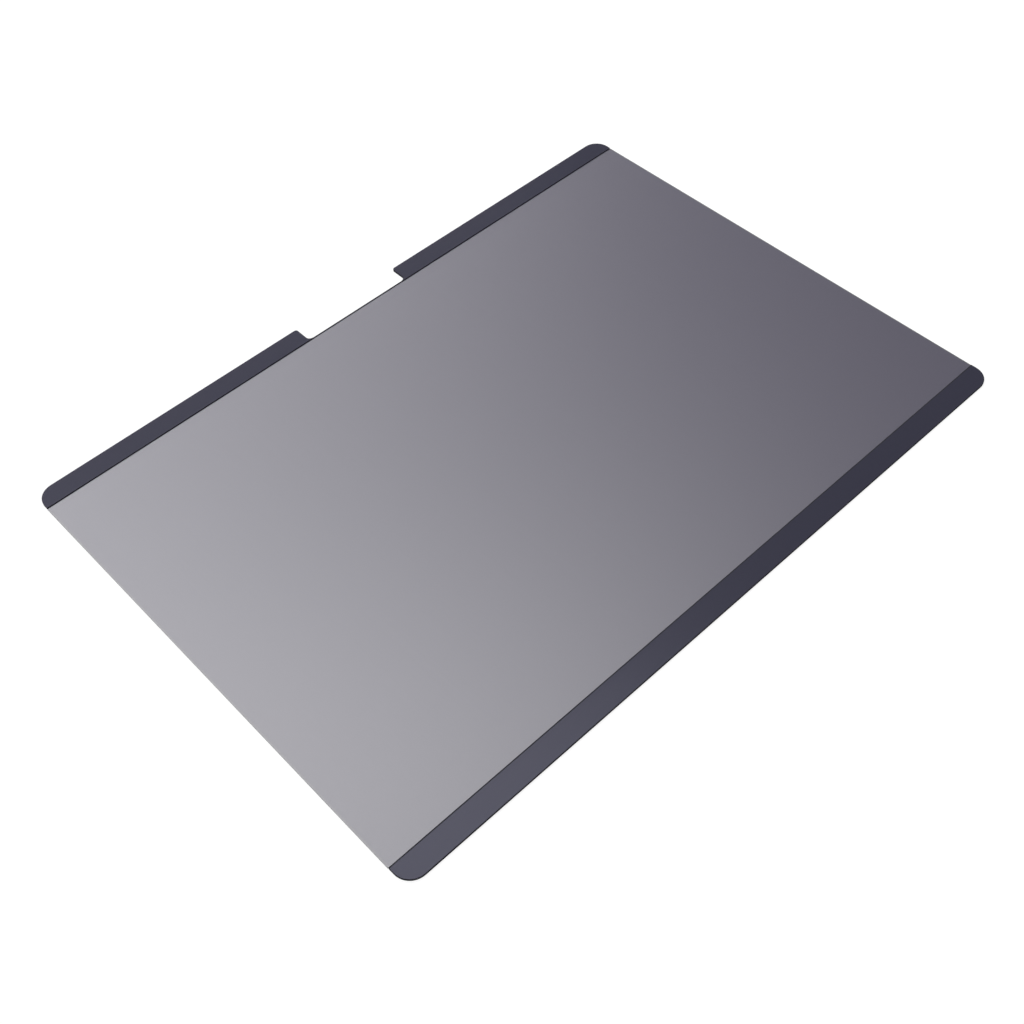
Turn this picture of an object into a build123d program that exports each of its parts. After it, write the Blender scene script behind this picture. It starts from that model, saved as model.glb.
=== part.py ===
from build123d import *
import os

# Laptop privacy filter: a louvred film whose two long edges are tucked into slim magnetic strips.
# It lies on its back. X runs along the strips, Y points to the strip with the camera notch,
# and Z points out of the front face. The back face is at Z = 0. All sizes are in millimetres.

# The whole filter
film_width = 302.0
filter_height = 217.0

# Layers, from the back face to the front of a strip
film_thickness = 0.55
tape_thickness = 0.05
magnet_thickness = 0.2
strip_skin = 0.15

# Strips: width across the strip, and the edges of their plan
top_strip_width = 9.0
bottom_strip_width = 9.5
strip_end_inset = 0.1
corner_radius = 7.0
inner_corner_radius = 0.3
edge_round = 0.15

# Underside of a strip: a rim that stands on the screen bezel and a lip that sits on the film
strip_rim = 0.8
strip_lip = 0.5
magnet_land = 0.6
magnet_end_gap = 0.5

# Camera notch in the top strip, with the low web that ties its two halves together
notch_width = 52.0
notch_floor_radius = 2.0
notch_mouth_radius = 1.2
web_width = 0.4
web_height = 0.2

# Clearances of the pieces that lie inside a strip
film_clearance = 0.1
tape_clearance = 0.2
magnet_clearance = 0.15

# Largest share of a band's width, or of a thin wall, that a rounding may take
corner_share = 0.95
edge_share = 0.4

# Heights that follow from the layers
tape_top = film_thickness + tape_thickness
magnet_top = tape_top + magnet_thickness
strip_thickness = magnet_top + strip_skin

# Lengths that follow from the plan
strip_length = film_width - 2 * strip_end_inset
pocket_notch_width = notch_width + 2 * strip_rim
straight_half = strip_length / 2 - corner_radius
web_length = notch_width - 2 * notch_floor_radius
soft_radius = min(edge_round, edge_share * web_width, edge_share * strip_lip)

# Each strip is drawn on its own plane, with Y outwards from the edge of the film that shows
top_edge_y = filter_height / 2 - top_strip_width
bottom_edge_y = bottom_strip_width - filter_height / 2
top_edge = Plane(origin=(0, top_edge_y, 0), x_dir=(1, 0, 0), z_dir=(0, 0, 1))
bottom_edge = Plane(origin=(0, bottom_edge_y, 0), x_dir=(-1, 0, 0), z_dir=(0, 0, 1))

os.makedirs("parts", exist_ok=True)


def band_plan(width, inset, start):
    """Plan of a band along a strip, from y = start to the strip's outer edge less an inset.

    Its two outer corners are concentric with the strip's rounded corners.
    """
    depth = width - inset - start
    with BuildSketch() as band:
        with Locations((0, start + depth / 2)):
            Rectangle(strip_length - 2 * inset, depth)
        outer_corners = band.vertices().group_by(Axis.Y)[-1]
        fillet(outer_corners, radius=min(corner_radius - inset, corner_share * depth))
    return band.sketch


def notched_plan(band, width, gap, floor):
    """A band with a square-cornered gap in the middle, open at the outer edge, from y = floor."""
    with BuildSketch() as plan:
        add(band)
        with Locations((0, (floor + width) / 2)):
            Rectangle(gap, width - floor, mode=Mode.SUBTRACT)
    return plan.sketch


def bar_plan(length, width, spots, room=0):
    """Plan of equal bars centred on the given spots, grown by a room on every side."""
    with BuildSketch() as bars:
        with Locations(*spots):
            Rectangle(length + 2 * room, width + 2 * room)
    return bars.sketch


def cut_underside(plane, plan, depth):
    """Cut a plan into the strip that is being built, from the back face up to a depth."""
    with BuildSketch(plane) as cut:
        add(plan)
    extrude(cut.sketch, amount=depth, mode=Mode.SUBTRACT)


# Plan of the bottom strip: a plain band with eased inner corners
with BuildSketch() as bottom_outline:
    add(band_plan(bottom_strip_width, 0, 0))
    fillet(bottom_outline.vertices().group_by(Axis.Y)[0], radius=inner_corner_radius)

# Plan of the two halves of the top strip: a band with the rounded notch, less the low web
with BuildSketch() as top_outline:
    add(notched_plan(band_plan(top_strip_width, 0, 0), top_strip_width, notch_width, web_width))
    mouth_corners = top_outline.vertices().group_by(Axis.Y)[-1].sort_by(lambda v: abs(v.X))[:2]
    fillet(mouth_corners, radius=notch_mouth_radius)
    fillet(top_outline.vertices().group_by(Axis.Y)[1], radius=notch_floor_radius)
    fillet(top_outline.vertices().group_by(Axis.Y)[0], radius=inner_corner_radius)
    with Locations((0, web_width / 2)):
        Rectangle(web_length, web_width, mode=Mode.SUBTRACT)

# Plans of what lies under each strip: the film's tongue in its slot, and the tape in its recess
tongue_rim = strip_rim + film_clearance
tape_rim = strip_rim + tape_clearance
tape_start = strip_lip + tape_clearance
bottom_slot = band_plan(bottom_strip_width, strip_rim, 0)
bottom_recess = band_plan(bottom_strip_width, strip_rim, strip_lip)
bottom_tongue = band_plan(bottom_strip_width, tongue_rim, -film_clearance)
bottom_tape_plan = band_plan(bottom_strip_width, tape_rim, tape_start)

top_slot = notched_plan(
    band_plan(top_strip_width, strip_rim, 0),
    top_strip_width,
    pocket_notch_width,
    web_width,
)
top_recess = notched_plan(
    band_plan(top_strip_width, strip_rim, strip_lip),
    top_strip_width,
    pocket_notch_width,
    0,
)
top_tongue = notched_plan(
    band_plan(top_strip_width, tongue_rim, -film_clearance),
    top_strip_width,
    pocket_notch_width + 2 * film_clearance,
    web_width - film_clearance,
)
top_tape_plan = notched_plan(
    band_plan(top_strip_width, tape_rim, tape_start),
    top_strip_width,
    pocket_notch_width + 2 * tape_clearance,
    0,
)

# Magnets: bars along the straight run of each strip, held between lands of the strip
magnet_lead = pocket_notch_width / 2 + magnet_land
top_magnet_length = straight_half - magnet_end_gap - magnet_lead
top_magnet_width = top_strip_width - strip_rim - strip_lip - 2 * magnet_land
top_magnet_x = magnet_lead + top_magnet_length / 2
top_magnet_y = (strip_lip + top_strip_width - strip_rim) / 2
bottom_magnet_length = 2 * (straight_half - magnet_end_gap)
bottom_magnet_width = bottom_strip_width - strip_rim - strip_lip - 2 * magnet_land
bottom_magnet_y = (strip_lip + bottom_strip_width - strip_rim) / 2

left_spot = (-top_magnet_x, top_magnet_y)
right_spot = (top_magnet_x, top_magnet_y)
bottom_spot = (0, bottom_magnet_y)
top_pockets = bar_plan(top_magnet_length, top_magnet_width, [left_spot, right_spot], magnet_clearance)
bottom_pocket = bar_plan(bottom_magnet_length, bottom_magnet_width, [bottom_spot], magnet_clearance)

# Privacy film: the sheet that shows, with a tongue along each long edge that lies inside a strip
with BuildPart() as privacy_film:
    with BuildSketch():
        with Locations((0, (top_edge_y + bottom_edge_y) / 2)):
            Rectangle(film_width, top_edge_y - bottom_edge_y - 2 * film_clearance)
    extrude(amount=film_thickness)
    with BuildSketch(top_edge):
        add(top_tongue)
    extrude(amount=film_thickness)
    with BuildSketch(bottom_edge):
        add(bottom_tongue)
    extrude(amount=film_thickness)
privacy_film.part.label = "privacy_film"
export_step(privacy_film.part, "parts/privacy_film.step")

# Top strip: two halves hollowed from behind and tied by the web. All front edges are softened
# but the two blunt tips where the web begins, which are the ones nearest the middle.
with BuildPart() as top_strip:
    with BuildSketch(top_edge):
        add(top_outline.sketch)
    extrude(amount=strip_thickness)
    front_edges = top_strip.edges().group_by(Axis.Z)[-1].sort_by(lambda e: abs(e.center().X))
    left_tip, right_tip, *softened = front_edges
    fillet(softened, radius=soft_radius)
    cut_underside(top_edge, top_slot, film_thickness)
    cut_underside(top_edge, top_recess, tape_top)
    cut_underside(top_edge, top_pockets, magnet_top)
    with BuildSketch(top_edge.offset(film_thickness)):
        with Locations((0, web_width / 2)):
            Rectangle(web_length, web_width)
    extrude(amount=web_height)
top_strip.part.label = "top_strip"
export_step(top_strip.part, "parts/top_strip.step")

# Bottom strip: one plain bar with softened front edges, hollowed from behind
with BuildPart() as bottom_strip:
    with BuildSketch(bottom_edge):
        add(bottom_outline.sketch)
    extrude(amount=strip_thickness)
    fillet(bottom_strip.edges().group_by(Axis.Z)[-1], radius=soft_radius)
    cut_underside(bottom_edge, bottom_slot, film_thickness)
    cut_underside(bottom_edge, bottom_recess, tape_top)
    cut_underside(bottom_edge, bottom_pocket, magnet_top)
bottom_strip.part.label = "bottom_strip"
export_step(bottom_strip.part, "parts/bottom_strip.step")

# Tapes: double-sided strips that bond each strip to the film and shut the magnet pockets
left_tape_plan, right_tape_plan = top_tape_plan.faces().sort_by(Axis.X)
tapes = {
    "top_left_tape": (top_edge, left_tape_plan),
    "top_right_tape": (top_edge, right_tape_plan),
    "bottom_tape": (bottom_edge, bottom_tape_plan),
}
for name, (edge, plan) in tapes.items():
    with BuildPart() as tape:
        with BuildSketch(edge.offset(film_thickness)):
            add(plan)
        extrude(amount=tape_thickness)
    tape.part.label = name
    export_step(tape.part, f"parts/{name}.step")

# Magnets: flat flexible bars in the pockets, one each side of the notch and one along the bottom
magnets = {
    "top_left_magnet": (top_edge, bar_plan(top_magnet_length, top_magnet_width, [left_spot])),
    "top_right_magnet": (top_edge, bar_plan(top_magnet_length, top_magnet_width, [right_spot])),
    "bottom_magnet": (bottom_edge, bar_plan(bottom_magnet_length, bottom_magnet_width, [bottom_spot])),
}
for name, (edge, plan) in magnets.items():
    with BuildPart() as magnet:
        with BuildSketch(edge.offset(tape_top)):
            add(plan)
        extrude(amount=magnet_thickness)
    magnet.part.label = name
    export_step(magnet.part, f"parts/{name}.step")
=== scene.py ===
# %% [markdown]
# # A laptop privacy filter
#
# A privacy filter is a thin louvred film that lies over a laptop's screen. A slim strip along each long
# edge hides flat magnets, and a notch in the upper strip keeps the camera free. The solids arrive ready
# made, in metres and in their final place, so this lesson frames them, lights them and gives each one the
# finish of the real material.

# %% Load the solids
import math

import bpy
import numpy as np
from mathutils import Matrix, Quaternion, Vector


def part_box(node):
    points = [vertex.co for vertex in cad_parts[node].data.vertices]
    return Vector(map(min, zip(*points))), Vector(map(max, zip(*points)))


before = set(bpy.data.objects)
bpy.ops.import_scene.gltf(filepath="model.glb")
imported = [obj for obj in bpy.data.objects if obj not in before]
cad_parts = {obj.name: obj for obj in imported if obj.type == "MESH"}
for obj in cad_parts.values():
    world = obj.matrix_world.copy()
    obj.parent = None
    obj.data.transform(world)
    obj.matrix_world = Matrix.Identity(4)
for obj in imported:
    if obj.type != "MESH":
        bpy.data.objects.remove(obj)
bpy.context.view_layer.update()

MM = 0.001
print("solids:", ", ".join(sorted(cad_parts)))

# %% [markdown]
# ## The camera
#
# A flat sheet shows its outline best from high above one corner. The camera's place could be guessed and
# nudged, but the sheet has four straight edges, and the points where their lines meet fix both the
# direction of view and the focal length. The numbers below were worked out that way. The roll, a small
# turn about the line of sight, tips the picture by the few degrees by which a hand-held camera leans.
# The Standard view transform shows colours as the light makes them, with no tone curve on top.

# %% Camera
LENS = 48.32
CAMERA_PLACE = Vector((-233.4, -262.5, 397.3)) * MM
CAMERA_AIM = Vector((-28.54, -24.54, 0.52)) * MM
CAMERA_ROLL = -3.29


def add_object(name, data):
    """A new object that holds the data, linked into the scene."""
    made = bpy.data.objects.new(name, data)
    bpy.context.scene.collection.objects.link(made)
    return made


def point_at(thing, place, aim, roll):
    """Put a thing at its place, its own -Z axis towards the aim, rolled about that line by degrees."""
    facing = (aim - place).to_track_quat("-Z", "Y")
    thing.location = place
    thing.rotation_mode = "QUATERNION"
    thing.rotation_quaternion = facing @ Quaternion((0, 0, 1), math.radians(roll))


camera = add_object("corner_camera", bpy.data.cameras.new("corner_camera"))
camera.data.lens = LENS
point_at(camera, CAMERA_PLACE, CAMERA_AIM, CAMERA_ROLL)
bpy.context.scene.camera = camera
bpy.context.scene.view_settings.view_transform = "Standard"
print("camera to aim in mm:", round((CAMERA_AIM - CAMERA_PLACE).length / MM, 1))

# %% [markdown]
# ## The soft boxes
#
# The film is satin, so what it shows is mostly a soft reflection: pale where it mirrors a lamp, dark
# where it mirrors an empty room. A picture of a studio, wrapped round the scene, could give that, but
# lamps are easier to shift until the reflection sits right. Two soft boxes behind the filter do it, and
# the camera does not see the boxes themselves. The large one hangs high, and its mirror image lies over
# the left end of the film and fades towards the right, because the satin surface blurs its edge over the
# whole sheet. The long, low one keeps the far edge from going dull. Both also light the filter from
# above, and their strength is set such that a matt colour comes out about as bright as it is written.
#
# A lamp's energy is its total power. A flat lamp of a given brightness sends out pi times its area times
# that brightness, which is how the energy is worked out here.

# %% Soft boxes


def add_soft_box(name, place, aim, width, height, roll, brightness):
    """A rectangular lamp of the given size in metres and brightness, put up as point_at says."""
    box = add_object(name, bpy.data.lights.new(name, "AREA"))
    box.data.shape = "RECTANGLE"
    box.data.size = width
    box.data.size_y = height
    box.data.energy = brightness * math.pi * width * height
    box.visible_camera = False
    point_at(box, place, aim, roll)
    print(name, "power in W:", round(box.data.energy, 1))


add_soft_box(
    "high_soft_box",
    place=Vector((0.046, 0.922, 1.926)),
    aim=Vector((-0.388, -0.524, 0)),
    width=1.99,
    height=0.777,
    roll=-28.7,
    brightness=9.54,
)
add_soft_box(
    "low_soft_box",
    place=Vector((0.339, 1.256, 0.858)),
    aim=Vector((0.473, 0.272, 0)),
    width=1.70,
    height=0.182,
    roll=-4.0,
    brightness=10.05,
)

# %% [markdown]
# ## The room
#
# A room is never quite dark, because its walls throw light back from all sides. More lamps could stand
# for that, but each one would show in the satin film, so a dim, even world fills the shadows instead.

# %% World
ROOM_BRIGHTNESS = 0.12


def grey(level):
    """A colour with the same level of red, green and blue, and an alpha of 1."""
    return (level, level, level, 1)


world = bpy.data.worlds.new("dim_room")
world.use_nodes = True
background = world.node_tree.nodes["Background"]
background.inputs["Color"].default_value = grey(1)
background.inputs["Strength"].default_value = ROOM_BRIGHTNESS
bpy.context.scene.world = world
print("room brightness:", ROOM_BRIGHTNESS)

# %% [markdown]
# ## The paper
#
# The filter lies on seamless white paper, the usual ground for a product picture: a flat sheet that
# sweeps up into a wall, so that no horizon shows. It could be a plane and a white world, but then the low
# views would show an edge. Here one profile, a straight run, a quarter circle and an upright, is turned
# about the Z axis, and a small hub closes the middle. The paper lies a hair below the filter's back, so
# that the two never share a plane.

# %% Paper surface
PAPER_DROP = 0.05 * MM
HUB_RADIUS = 1 * MM
FLAT_RADIUS = 1.0
PAPER_RADIUS = 4.0
COVE_RADIUS = 1.0
WALL_TOP = 1.8
COVE_STEPS = 24
TURN_STEPS = 96


def paper_surface():
    """Profile (radius, height) turned about Z: point (i, j) is (r_i cos t_j, r_i sin t_j, h_i)."""
    arc = np.linspace(-math.pi / 2, 0, COVE_STEPS)
    sweep_radius = PAPER_RADIUS + COVE_RADIUS * np.cos(arc)
    sweep_height = COVE_RADIUS * (1 + np.sin(arc))
    radius = np.concatenate([[HUB_RADIUS, FLAT_RADIUS], sweep_radius, [PAPER_RADIUS + COVE_RADIUS]])
    height = np.concatenate([[0, 0], sweep_height, [WALL_TOP]]) - PAPER_DROP
    turn = np.linspace(0, 2 * math.pi, TURN_STEPS, endpoint=False)
    points = np.empty((len(radius), TURN_STEPS, 3))
    points[..., 0] = radius[:, None] * np.cos(turn)
    points[..., 1] = radius[:, None] * np.sin(turn)
    points[..., 2] = height[:, None]
    index = np.arange(len(radius) * TURN_STEPS).reshape(len(radius), TURN_STEPS)
    after = np.roll(index, -1, axis=1)
    quads = np.stack([index[:-1], index[1:], after[1:], after[:-1]], axis=-1).reshape(-1, 4)
    hub = index[0]
    return points.reshape(-1, 3), [*quads.tolist(), hub.tolist()]


paper_points, paper_faces = paper_surface()
paper_mesh = bpy.data.meshes.new("paper_floor")
paper_mesh.from_pydata(paper_points.tolist(), [], paper_faces)
paper = add_object("paper_floor", paper_mesh)
print("paper faces:", len(paper_mesh.polygons))

# %% [markdown]
# ## The white of the paper
#
# A product picture shows its ground as plain white. More light could burn the paper out to white, but it
# would burn out the filter too. So the paper has one look for the camera, for mirrors and for glass, and
# another for all other light. A Light Path node tells who is looking: each of its outputs is 1 for one
# kind of ray and 0 for the rest, so the largest of three is 1 for all three kinds.
#
# A finish is a tree of nodes. Adding them one line at a time hides the idea behind them, so one helper
# makes a node, sets its options and feeds its inputs.

# %% Who sees the paper


def feed(tree, socket, value):
    """Join an input to another node's output, or give it a plain value."""
    if isinstance(value, bpy.types.NodeSocket):
        tree.links.new(value, socket)
    else:
        socket.default_value = value


def add_node(tree, kind, inputs=None, **options):
    """A node of this kind, with its options set, and each named or numbered input fed."""
    made = tree.nodes.new(kind)
    for option, value in options.items():
        setattr(made, option, value)
    for key, value in (inputs or {}).items():
        feed(tree, made.inputs[key], value)
    return made


def reckon(tree, operation, *values):
    """The result of one Math node's operation on the values."""
    return add_node(tree, "ShaderNodeMath", dict(enumerate(values)), operation=operation).outputs[0]


paper_material = bpy.data.materials.new("white_paper")
paper_material.use_nodes = True
paper_tree = paper_material.node_tree
paper_tree.nodes.clear()
path = add_node(paper_tree, "ShaderNodeLightPath").outputs
seen = path["Is Camera Ray"]
for other in ("Is Glossy Ray", "Is Transmission Ray"):
    seen = reckon(paper_tree, "MAXIMUM", seen, path[other])
print("nodes that tell who sees the paper:", len(paper_tree.nodes))

# %% [markdown]
# ### Glow and shade
#
# The look for the camera is mostly a glow of the paper's own, with a share of real light added. The glow
# alone would be simpler, but the filter would seem to float on it. The added light keeps its faint
# shadow. To all other light the paper is ordinary matt white.

# %% Paper finish
PAPER_WHITE = 0.80
PAPER_GLOW = 0.90
PAPER_SHADE = 0.13

matt = add_node(paper_tree, "ShaderNodeBsdfDiffuse", {"Color": grey(PAPER_WHITE)}).outputs[0]
faint = add_node(paper_tree, "ShaderNodeBsdfDiffuse", {"Color": grey(PAPER_SHADE)}).outputs[0]
glow = add_node(paper_tree, "ShaderNodeEmission", {"Color": grey(PAPER_GLOW), "Strength": 1.0}).outputs[0]
white = add_node(paper_tree, "ShaderNodeAddShader", {0: faint, 1: glow}).outputs[0]
both = add_node(paper_tree, "ShaderNodeMixShader", {0: seen, 1: matt, 2: white}).outputs[0]
add_node(paper_tree, "ShaderNodeOutputMaterial", {"Surface": both})
paper_mesh.materials.append(paper_material)
print("nodes in the paper's finish:", len(paper_tree.nodes))

# %% [markdown]
# ## The louvred film
#
# The film is a laminate: clear plastic skins around a core of upright black louvres, far too fine to
# see. Straight on it lets light through, and from the side the louvres shut it off, so lying on a table
# it looks like smoky grey satin. Real louvres would be thousands of slivers under a tenth of a
# millimetre, which no picture of the whole filter can show, so the finish carries them as faint streaks
# that run along Y as the louvres do.
#
# The streaks are noise, drawn out along Y. An image could carry them too, but it would blur close up and
# the film would have to be unwrapped. Noise is laid out by Object coordinates, which for these solids are
# metres from the middle of the back face, so it stays put from every side.

# %% Film streaks
FILM_IOR = 1.585
FILM_SHEEN = 1.0
STREAK_SIZE = (0.8 * MM, 90 * MM, 90 * MM)
STREAK_DETAIL = 3.0


def new_finish(name, **plain):
    """A material with one Principled shader, whose plain inputs have the given values."""
    material = bpy.data.materials.new(name)
    material.use_nodes = True
    shader = material.node_tree.nodes["Principled BSDF"]
    for key, value in plain.items():
        shader.inputs[key.replace("_", " ")].default_value = value
    return material, material.node_tree, shader


def object_place(tree):
    """The place of the shaded point in Object coordinates."""
    return add_node(tree, "ShaderNodeTexCoord").outputs["Object"]


def grain(tree, size, detail=2.0):
    """Noise from 0 to 1 whose specks have about the given sizes, in metres, along X, Y and Z."""
    scale = tuple(1 / side for side in size)
    spread = add_node(tree, "ShaderNodeMapping", {"Vector": object_place(tree), "Scale": scale})
    inputs = {"Vector": spread.outputs["Vector"], "Scale": 1.0, "Detail": detail}
    return add_node(tree, "ShaderNodeTexNoise", inputs).outputs["Fac"]


film_low, film_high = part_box("privacy_film")
film_material, film_tree, film_shader = new_finish(
    "louvred_film",
    IOR=FILM_IOR,
    Specular_IOR_Level=FILM_SHEEN,
)
streaks = grain(film_tree, STREAK_SIZE, STREAK_DETAIL)
print("film in mm:", [round(side / MM, 2) for side in film_high - film_low])

# %% [markdown]
# ### The film's colour
#
# Seen at a slant, the black louvres behind the clear skins look dark and a little blue. One flat colour
# would make the film look like painted card, so the streaks blend a darker shade of the colour into a
# paler one. The two differ by only a few percent, because real louvres never stand out as stripes.

# %% Film colour
FILM_COLOUR = (0.0436, 0.0378, 0.0705)
STREAK_SPREAD = 0.04


def mix_colours(tree, share, first, second):
    """A blend of two colours, each an RGB or a socket: the first at share 0, the second at share 1."""
    made = add_node(tree, "ShaderNodeMix", data_type="RGBA")
    sockets = {socket.identifier: socket for socket in made.inputs}
    feed(tree, sockets["Factor_Float"], share)
    for key, colour in (("A_Color", first), ("B_Color", second)):
        feed(tree, sockets[key], (*colour, 1) if isinstance(colour, tuple) else colour)
    return next(socket for socket in made.outputs if socket.identifier == "Result_Color")


def spread_colour(tree, noise, colour, spread):
    """The colour times 1 - spread where the noise is 0, up to the colour times 1 + spread where it is 1."""
    darker = tuple((1 - spread) * channel for channel in colour)
    paler = tuple((1 + spread) * channel for channel in colour)
    return mix_colours(tree, noise, darker, paler)


streaked = spread_colour(film_tree, streaks, FILM_COLOUR, STREAK_SPREAD)
print("streaks shift the film's colour by percent:", round(100 * STREAK_SPREAD))

# %% [markdown]
# ### The painted highlight on the film's cut ends
#
# Along its two short sides the film is cut bare, and there the clear skins catch the light. That light
# is painted into the colour: the last half millimetre or so is paler, a painted highlight. A material of
# its own on the end faces could show that, but not the pale line beside them on the front. A ramp along
# the distance from the middle gives both.

# %% Film cut ends
CUT_HIGHLIGHT_COLOUR = (0.064, 0.061, 0.080)
CUT_HIGHLIGHT_WIDTH = 0.8 * MM


def object_axes(tree):
    """The X, Y and Z of the shaded point in Object coordinates, by name."""
    return add_node(tree, "ShaderNodeSeparateXYZ", {0: object_place(tree)}).outputs


def ramp(tree, value, low, high, start, end):
    """A value that goes from start to end, held at both, while the input goes from low to high."""
    inputs = {"Value": value, "From Min": low, "From Max": high, "To Min": start, "To Max": end}
    return add_node(tree, "ShaderNodeMapRange", inputs).outputs["Result"]


highlight_start = film_high.x - CUT_HIGHLIGHT_WIDTH
highlight_full = film_high.x - CUT_HIGHLIGHT_WIDTH / 2
from_middle = reckon(film_tree, "ABSOLUTE", object_axes(film_tree)["X"])
at_cut_highlight = ramp(film_tree, from_middle, highlight_start, highlight_full, 0.0, 1.0)
# The paler colour at the cut ends is a painted highlight.
feed(film_tree, film_shader.inputs["Base Color"], mix_colours(film_tree, at_cut_highlight, streaked, CUT_HIGHLIGHT_COLOUR))
print("the cut ends pale from mm:", round(highlight_start / MM, 2), "to mm:", round(highlight_full / MM, 2))

# %% [markdown]
# ### The film's satin coat
#
# A hard coat makes the film satin, by relief that is mostly too fine to see. Modelling that relief would
# take millions of faces. The shader's roughness stands for the finest of it, which blurs the soft boxes,
# and a fine grain, which shifts the roughness and tilts the surface as bump, for what shows close up.

# %% Film coat
FILM_ROUGHNESS = 0.462
ROUGHNESS_SPREAD = 0.03
NOISE_LOW = 0.3
NOISE_HIGH = 0.7
COAT_GRAIN = (0.25 * MM, 0.25 * MM, 0.25 * MM)
COAT_DEPTH = 0.004 * MM


def spread_roughness(tree, noise, roughness):
    """The roughness less its spread where the noise is low, up to the two added where it is high."""
    low, high = roughness - ROUGHNESS_SPREAD, roughness + ROUGHNESS_SPREAD
    return ramp(tree, noise, NOISE_LOW, NOISE_HIGH, low, high)


def add_bump(tree, shader, height, depth, strength=0.5):
    """Join a height from 0 to 1 to the shader as fine relief of the given depth in metres."""
    inputs = {"Height": height, "Distance": depth, "Strength": strength}
    feed(tree, shader.inputs["Normal"], add_node(tree, "ShaderNodeBump", inputs).outputs["Normal"])


def dress(node, material):
    """Give a solid's own object a finish, in the one material slot that it came with."""
    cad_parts[node].data.materials[0] = material


coat = grain(film_tree, COAT_GRAIN)
feed(film_tree, film_shader.inputs["Roughness"], spread_roughness(film_tree, coat, FILM_ROUGHNESS))
add_bump(film_tree, film_shader, coat, COAT_DEPTH)
dress("privacy_film", film_material)
print("nodes in the film's finish:", len(film_tree.nodes))

# %% [markdown]
# ## The strips
#
# Each strip is a thin moulded cover with a satin front skin in a dark, bluish grey. Where the edges round
# off, on the walls and along a line a hair wide beside the film, the colour is a darker grey, which is
# painted shade, and the surface is dull. That line shows where the skin beside it is bright with sheen,
# and fades where it isn't. Two materials and a face selection could do that, but the solids' meshes stay
# as they came, and a point's place tells the two apart just as well: skin is what lies at the height of
# the front face and past the line, and the rest gets the painted shade.

# %% Where the skin lies
SKIN_DROP = 0.002 * MM
PAINTED_SHADE_DROP = 0.010 * MM
SHADE_LINE_WIDTHS = {"top_strip": 0.1 * MM, "bottom_strip": 0.55 * MM}
SHADE_LINE_BLUR = 0.08 * MM


def skin_share(tree, strip, shade_line_width):
    """1 on a strip's front face from the line of painted shade outwards, falling to 0 where the painted
    shade lies.
    """
    low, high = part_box(strip)
    axes = object_axes(tree)
    in_front = ramp(tree, axes["Z"], high.z - PAINTED_SHADE_DROP, high.z - SKIN_DROP, 0.0, 1.0)
    skin_start = min(abs(low.y), abs(high.y)) + shade_line_width
    out = reckon(tree, "ABSOLUTE", axes["Y"])
    past_shade_line = ramp(tree, out, skin_start - SHADE_LINE_BLUR, skin_start, 0.0, 1.0)
    return reckon(tree, "MULTIPLY", in_front, past_shade_line)


# The width of each strip's line of painted shade along the film.
for strip, shade_line_width in SHADE_LINE_WIDTHS.items():
    print(strip, "has its skin trimmed by mm:", round(shade_line_width / MM, 2))

# %% [markdown]
# ### Skin and painted shade
#
# The skin has a fine, even grain, in its colour, its roughness and as bump, and its sheen has the bluish
# tint of the skin. The painted shade is one dull, darker grey under the same grain. A coat layer could make
# the sheen, but a low specular level with a tint does it on the plain shader.

# %% Strip finish
SKIN_COLOUR = (0.0388, 0.0382, 0.0574)
# Painted shade: the darker colour of the walls, the rounded edges and the line along the film.
PAINTED_SHADE_COLOUR = (0.028, 0.028, 0.034)
SKIN_GRAIN = (0.35 * MM, 0.35 * MM, 0.35 * MM)
SKIN_DETAIL = 3.0
SKIN_SPREAD = 0.06
SKIN_DEPTH = 0.005 * MM
SKIN_ROUGHNESS = 0.24
PAINTED_SHADE_ROUGHNESS = 0.85
SHEEN_LEVEL = 0.114
SHEEN_TINT = (0.83, 0.83, 1.0, 1.0)


def strip_finish(strip, shade_line_width):
    """Satin skin where skin_share is 1, and the darker painted shade, dull, where it is 0."""
    material, tree, shader = new_finish(
        "matt_" + strip,
        Specular_IOR_Level=SHEEN_LEVEL,
        Specular_Tint=SHEEN_TINT,
    )
    skinned = skin_share(tree, strip, shade_line_width)
    specks = grain(tree, SKIN_GRAIN, SKIN_DETAIL)
    skin = spread_colour(tree, specks, SKIN_COLOUR, SKIN_SPREAD)
    # Where skin_share is 0 the colour is painted shade.
    feed(tree, shader.inputs["Base Color"], mix_colours(tree, skinned, PAINTED_SHADE_COLOUR, skin))
    satin = spread_roughness(tree, specks, SKIN_ROUGHNESS)
    feed(tree, shader.inputs["Roughness"], ramp(tree, skinned, 0.0, 1.0, PAINTED_SHADE_ROUGHNESS, satin))
    add_bump(tree, shader, specks, SKIN_DEPTH)
    return material


for strip, shade_line_width in SHADE_LINE_WIDTHS.items():
    dress(strip, strip_finish(strip, shade_line_width))
    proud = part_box(strip)[1].z - film_high.z
    print(strip, "stands proud of the film by mm:", round(proud / MM, 2))

# %% [markdown]
# ## The tape
#
# Black double-sided foil bonds the strips to the film and shuts the pockets of the magnets. It shows only
# when the filter is taken apart, so a flat black would do here, but a part is used in other scenes too.
# Its fine grain, longer across the tape than along it, shifts its tone and its roughness.

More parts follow.
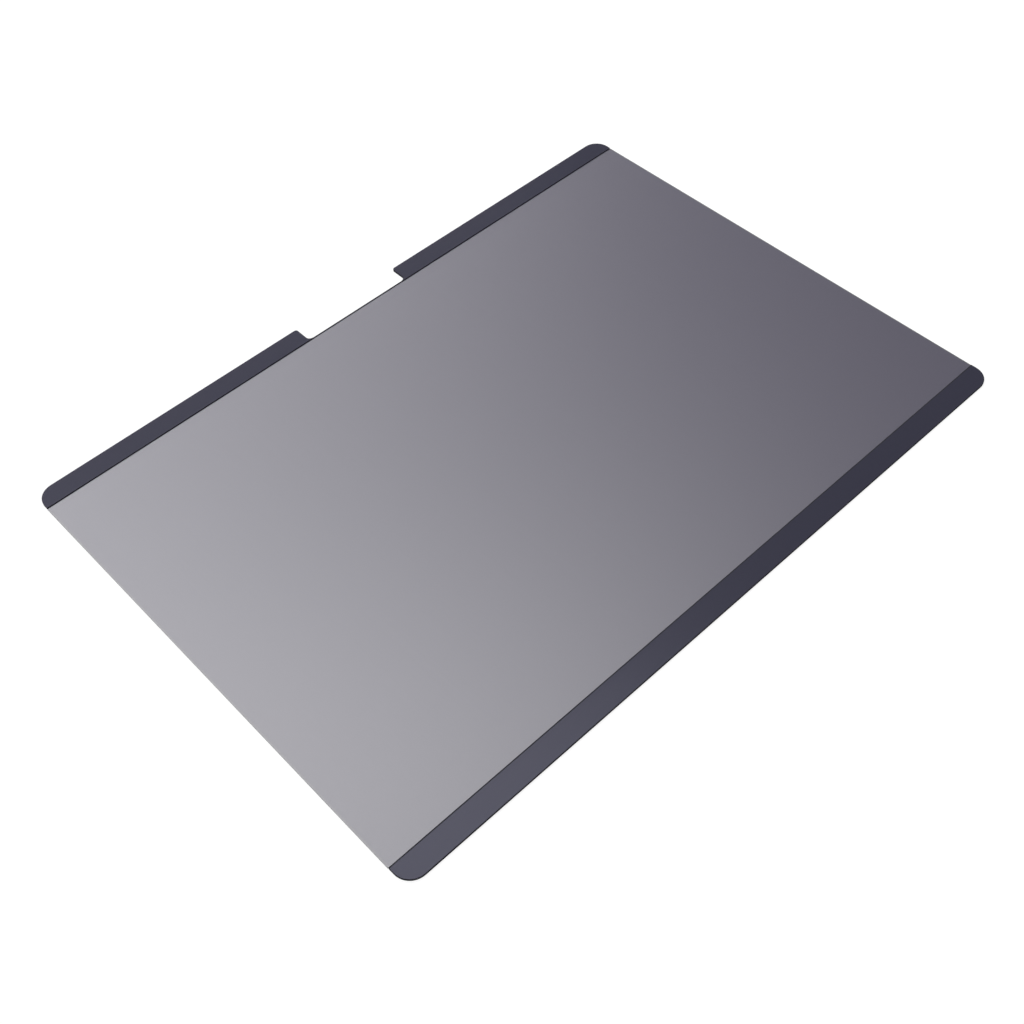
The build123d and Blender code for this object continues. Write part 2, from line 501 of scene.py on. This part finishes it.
# %% Tape finish
TAPES = ("top_left_tape", "top_right_tape", "bottom_tape")
TAPE_COLOUR = (0.012, 0.012, 0.013)
TAPE_SPREAD = 0.3
TAPE_GRAIN = (0.5 * MM, 3.0 * MM, 0.5 * MM)
TAPE_ROUGHNESS = 0.6
TAPE_DEPTH = 0.01 * MM
TAPE_RELIEF = 0.4

tape_material, tape_tree, tape_shader = new_finish("black_tape")
weave = grain(tape_tree, TAPE_GRAIN)
tape_tone = spread_colour(tape_tree, weave, TAPE_COLOUR, TAPE_SPREAD)
feed(tape_tree, tape_shader.inputs["Base Color"], tape_tone)
feed(tape_tree, tape_shader.inputs["Roughness"], spread_roughness(tape_tree, weave, TAPE_ROUGHNESS))
add_bump(tape_tree, tape_shader, weave, TAPE_DEPTH, TAPE_RELIEF)
for tape in TAPES:
    dress(tape, tape_material)
print("tapes dressed:", len(TAPES))

# %% [markdown]
# ## The magnets
#
# The magnets are bonded ferrite, a dark brown rubber full of paler specks of powder. The specks could be
# thousands of small flakes, but they are only seen close up, so they are the peaks of a fine noise: above
# one level the powder begins to show, and above another it is all that shows.

# %% Magnet finish
MAGNETS = ("top_left_magnet", "top_right_magnet", "bottom_magnet")
FERRITE_COLOUR = (0.030, 0.022, 0.018)
FERRITE_ROUGHNESS = 0.75
POWDER_COLOUR = (0.075, 0.060, 0.050)
POWDER_GRAIN = (0.3 * MM, 0.3 * MM, 0.3 * MM)
POWDER_DETAIL = 4.0
POWDER_START = 0.5
POWDER_FULL = 0.75
POWDER_DEPTH = 0.02 * MM

magnet_material, magnet_tree, magnet_shader = new_finish("bonded_ferrite", Roughness=FERRITE_ROUGHNESS)
powder = grain(magnet_tree, POWDER_GRAIN, POWDER_DETAIL)
powder_share = ramp(magnet_tree, powder, POWDER_START, POWDER_FULL, 0.0, 1.0)
speckled = mix_colours(magnet_tree, powder_share, FERRITE_COLOUR, POWDER_COLOUR)
feed(magnet_tree, magnet_shader.inputs["Base Color"], speckled)
add_bump(magnet_tree, magnet_shader, powder, POWDER_DEPTH)
for magnet in MAGNETS:
    dress(magnet, magnet_material)
print("magnets dressed:", len(MAGNETS))
